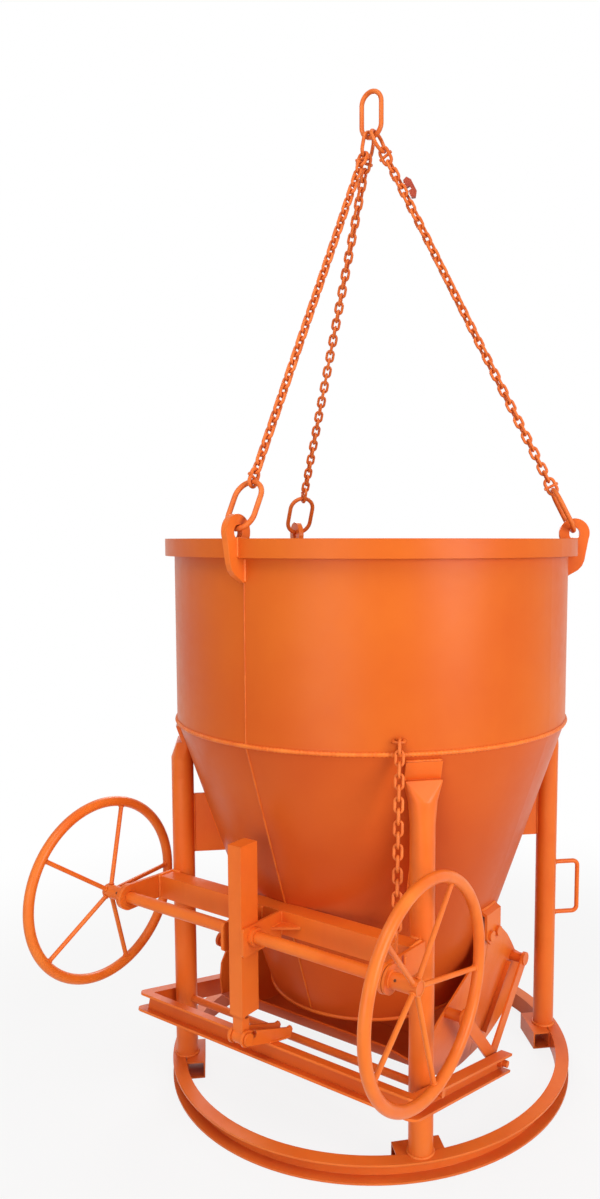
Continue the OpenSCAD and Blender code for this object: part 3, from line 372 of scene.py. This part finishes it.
# feet and pads of the legs, their gussets, and the grab handle
legWeld = {"footUp": 0.001, "footGap": 0.0002, "padTop": 0.9985, "padHalf": 0.044, "padGap": 0.001,
           "gussetZ": (0.637, 0.798), "gussetHalf": 0.0042, "gussetGap": 0.0005,
           "handleA": 133.2, "handleZ": (0.3925, 0.5465), "handleR": 0.0069, "handleGap": 0.0008}
legBeads = []
for angle in (-hull["legA"], hull["legA"], 180 - hull["legA"], 180 + hull["legA"]):
    foot = around(angle, hull["legR"], hull["ringH"] + legWeld["footUp"])
    padR = coneR(legWeld["padTop"]) + legWeld["padGap"]
    pad = [around(angle, padR, legWeld["padTop"], side * legWeld["padHalf"]) for side in (-1, 1)]
    footR = hull["legTube"] + legWeld["footGap"]
    legBeads += [ringBead(foot, up, footR, "joint"), lineBead(pad, "joint")]
    for side in (-1, 1):
        aside = side * legWeld["gussetHalf"]
        onCone = [around(angle, coneR(z) + legWeld["gussetGap"], z, aside) for z in legWeld["gussetZ"]]
        onLeg = [around(angle, hull["legR"] - hull["legTube"], z, aside) for z in legWeld["gussetZ"]]
        legBeads += [lineBead(onCone, "small"), lineBead(onLeg, "small")]
handleOut = around(legWeld["handleA"], 1.0, 0.0)
for z in legWeld["handleZ"]:
    spot = around(legWeld["handleA"], hull["legR"] + hull["legTube"] + legWeld["handleGap"], z)
    legBeads.append(ringBead(spot, handleOut, legWeld["handleR"], "tiny"))
weldPiece("weldLegs", "frame", legBeads)

# beam on the front legs, with its end plates, middle plates, small gusset and rack guide
beamWeld = {"gap": 0.0003, "legX": 0.3856, "legY": -0.3621, "legR": 0.0303, "arc": 28, "arcStep": 4,
            "endX": 0.4012, "plateX": (0.0284, -0.0350, -0.0434), "plateFoot": 0.003, "plateTop": 0.001,
            "gussetX": 0.087, "gussetY": -0.482, "gussetZ": 0.5573,
            "guideX": 0.0204, "guideY": -0.5198, "guideZ": (0.519, 0.585)}
lowBeam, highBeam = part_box("upper_beam")
beamY = lowBeam[1] - beamWeld["gap"]
beamBeads = []
for side in (-1, 1):
    arc = []
    for degrees in range(-beamWeld["arc"], beamWeld["arc"] + 1, beamWeld["arcStep"]):
        turn = math.radians(degrees)
        arc.append(Vector((side * beamWeld["legX"] + beamWeld["legR"] * math.sin(turn),
                           beamWeld["legY"] - beamWeld["legR"] * math.cos(turn), highBeam[2])))
    endX = side * beamWeld["endX"]
    end = [Vector((endX, highBeam[1], highBeam[2])), Vector((endX, beamY, highBeam[2])),
           Vector((endX, beamY, lowBeam[2]))]
    beamBeads += [(arc, beadSize["seam"], False), lineBead(end, "joint")]
for x in beamWeld["plateX"]:
    plate = [Vector((x, beamY, lowBeam[2] + beamWeld["plateFoot"])),
             Vector((x, beamY, highBeam[2] - beamWeld["plateTop"]))]
    beamBeads.append(lineBead(plate, "small"))
corner = Vector((beamWeld["plateX"][0], beamY, beamWeld["gussetZ"]))
gusset = [Vector((beamWeld["gussetX"], beamY, beamWeld["gussetZ"])), corner,
          Vector((corner.x, beamWeld["gussetY"], beamWeld["gussetZ"]))]
guide = [Vector((beamWeld["guideX"], beamWeld["guideY"], z)) for z in beamWeld["guideZ"]]
beamBeads += [lineBead(gusset, "tiny"), lineBead(guide, "small")]
weldPiece("weldBeam", "frame", beamBeads)

# lifting lugs on the rim, the chain eye, and the pivot brackets of the gates
lugWeld = {"angles": (0, 120, 240), "half": 0.0083, "tail": 1.404, "rimGap": 0.001, "overRim": 0.537,
           "eyeA": 40.5, "eyeZ": 1.047, "eyeHalf": 0.0125, "eyeRise": 0.0045, "eyeGap": 0.0005,
           "pivotY": 0.039, "pivotZ": 0.5303, "pivotRise": 0.0011, "pivotGap": 0.0006, "pivotSteps": 17}
lugBeads = []
for angle in lugWeld["angles"]:
    for side in (-1, 1):
        aside = side * lugWeld["half"]
        tailZ = (lugWeld["tail"], rimLow - lugWeld["rimGap"])
        tail = [around(angle, hull["drumR"], z, aside) for z in tailZ]
        over = [around(angle, hull["rimR"], rimLow + lugWeld["rimGap"], aside),
                around(angle, hull["rimR"], hull["rimZ"], aside),
                around(angle, lugWeld["overRim"], hull["rimZ"], aside)]
        lugBeads += [lineBead(tail, "joint"), lineBead(over, "small")]
for side in (-1, 1):
    eyeR = hull["drumR"] + lugWeld["eyeGap"]
    eye = [around(lugWeld["eyeA"], eyeR, lugWeld["eyeZ"] + rise, side * lugWeld["eyeHalf"])
           for rise in (-lugWeld["eyeRise"], lugWeld["eyeRise"])]
    pivot = []
    steps = lugWeld["pivotSteps"]
    for i in range(-steps, steps + 1):
        y = lugWeld["pivotY"] * i / steps
        z = lugWeld["pivotZ"] + lugWeld["pivotRise"] * (i / steps) ** 2
        pivot.append(Vector((side * math.sqrt((coneR(z) + lugWeld["pivotGap"]) ** 2 - y * y), y, z)))
    lugBeads += [lineBead(eye, "joint"), (pivot, beadSize["joint"], False)]
weldPiece("weldLugs", "frame", lugBeads)

# spokes at the hub and at the rim of each hand wheel, and the flange of its hub
wheelWeld = {"shaftY": -0.546, "shaftZ": 0.559, "hubX": 0.479, "rimX": 0.5076, "rimR": 0.237,
             "spokes": 5, "phase": (27.5, 17.5), "nearHub": 0.080, "nearRim": 0.941, "spokeR": 0.0062,
             "flangeX": 0.4199, "barrelR": 0.0182}
wheelBeads = []
for side, phase in zip((1, -1), wheelWeld["phase"]):
    middle = Vector((side * wheelWeld["hubX"], wheelWeld["shaftY"], wheelWeld["shaftZ"]))
    for k in range(wheelWeld["spokes"]):
        turn = math.radians(phase + 360 / wheelWeld["spokes"] * k)
        spoke = Vector((side * (wheelWeld["rimX"] - wheelWeld["hubX"]),
                        wheelWeld["rimR"] * math.sin(turn), wheelWeld["rimR"] * math.cos(turn)))
        for share in (wheelWeld["nearHub"], wheelWeld["nearRim"]):
            wheelBeads.append(ringBead(middle + spoke * share, spoke, wheelWeld["spokeR"], "tiny"))
    flange = Vector((side * wheelWeld["flangeX"], wheelWeld["shaftY"], wheelWeld["shaftZ"]))
    wheelBeads.append(ringBead(flange, right, wheelWeld["barrelR"], "tiny"))
weldPiece("weldWheels", "hand_wheels", wheelBeads)

# lugs on the front member of the yoke; from and to are y and z
yokeWeld = {"lugX": (0.0158, 0.0232), "from": (-0.4840, 0.2612), "to": (-0.4035, 0.2411)}
yokeBeads = []
for side in (-1, 1):
    for x in yokeWeld["lugX"]:
        foot = [Vector((side * x, *yokeWeld[end])) for end in ("from", "to")]
        yokeBeads.append(lineBead(foot, "small"))
weldPiece("weldYoke", "yoke", yokeBeads)

# shells on their cheeks; each gate has its way along y and the two ends of its arc in degrees
gateWeld = {"pivotY": 0.020, "pivotZ": 0.460, "shellR": 0.3652, "cheekX": 0.3759, "lean": 8.7,
            "arcStep": 0.5, "front_gate": (-1, 3, 41), "rear_gate": (1, 3, 52)}


# the arc where a gate's shell meets one of its leaning cheeks
def gateArc(way, first, last, side):
    points = []
    count = int((last - first) / gateWeld["arcStep"])
    for i in range(count + 1):
        turn = math.radians(first + (last - first) * i / count)
        drop = gateWeld["shellR"] * math.cos(turn)
        inward = drop * math.tan(math.radians(gateWeld["lean"]))
        points.append(Vector((side * (gateWeld["cheekX"] - inward),
                              way * (gateWeld["pivotY"] + gateWeld["shellR"] * math.sin(turn)),
                              gateWeld["pivotZ"] - drop)))
    return points


for name, body in (("weldFrontGate", "front_gate"), ("weldRearGate", "rear_gate")):
    arcs = [(gateArc(*gateWeld[body], side), beadSize["tiny"], False) for side in (-1, 1)]
    weldPiece(name, body, arcs)
print("welds laid")

# plain pale floor that reads white to the camera, keeps a soft shadow and fades out with distance
floorLook = {"size": 40.0, "height": -0.001, "tone": (0.62, 0.61, 0.60, 1), "glow": (1, 1, 1, 1),
             "white": 0.86, "near": 1.1, "far": 2.4}
half = floorLook["size"] / 2
corners = [(-half, -half, 0), (half, -half, 0), (half, half, 0), (-half, half, 0)]
floorData = bpy.data.meshes.new("studioFloor")
floorData.from_pydata(corners, [], [(0, 1, 2, 3)])
studioFloor = bpy.data.objects.new("studioFloor", floorData)
studioFloor.location.z = floorLook["height"]
scene.collection.objects.link(studioFloor)
book = Book(bpy.data.materials.new("floorPale"))
place = book.put("ShaderNodeNewGeometry", out="Position")
away = book.put("ShaderNodeVectorMath", {"operation": "LENGTH"}, {0: place}, out="Value")
fade = book.span(away, floorLook["near"], floorLook["far"], floorLook["white"], 1.0, "SMOOTHSTEP")
matte = book.put("ShaderNodeBsdfDiffuse", values={"Color": floorLook["tone"]})
glow = book.put("ShaderNodeEmission", values={"Color": floorLook["glow"], "Strength": 1.0})
pale = book.put("ShaderNodeMixShader", values={0: book.seen() * fade, 1: matte, 2: glow})
floorData.materials.append(book.close(pale))

# white to the camera and to mirror rays, a weaker fill for all other light
worldLook = {"tone": (1, 1, 1, 1), "fill": 0.37}
world = bpy.data.worlds.new("studioWorld")
scene.world = world
book = Book(world)
fill = book.put("ShaderNodeBackground", values={"Color": worldLook["tone"], "Strength": worldLook["fill"]})
white = book.put("ShaderNodeBackground", values={"Color": worldLook["tone"], "Strength": 1.0})
backdrop = book.put("ShaderNodeMixShader", values={0: book.seen(), 1: fill, 2: white})
book.close(backdrop, "ShaderNodeOutputWorld")

# round soft lamps, sizes in metres and power in watts
lamps = {"keyLamp": {"place": (3.9, -0.9, 1.7), "aim": (0, 0, 0.6), "size": 2.0, "power": 83},
         "frontLamp": {"place": (1.0, -4.5, 0.9), "aim": (0, 0, 0.4), "size": 2.4, "power": 56},
         "topLamp": {"place": (0.4, -2.3, 4.3), "aim": (0, -0.4, 0.4), "size": 2.2, "power": 52},
         "backLamp": {"place": (-2.6, 3.2, 3.2), "aim": (0, 0, 0.9), "size": 2.2, "power": 80}}
for name, lamp in lamps.items():
    light = bpy.data.lights.new(name, "AREA")
    light.shape = "DISK"
    light.size = lamp["size"]
    light.energy = lamp["power"]
    holder = bpy.data.objects.new(name, light)
    holder.location = lamp["place"]
    toAim = Vector(lamp["aim"]) - Vector(lamp["place"])
    holder.rotation_euler = toAim.to_track_quat("-Z", "Y").to_euler()
    holder.visible_camera = False
    scene.collection.objects.link(holder)
scene.view_settings.view_transform = "Standard"
print("studio lit")
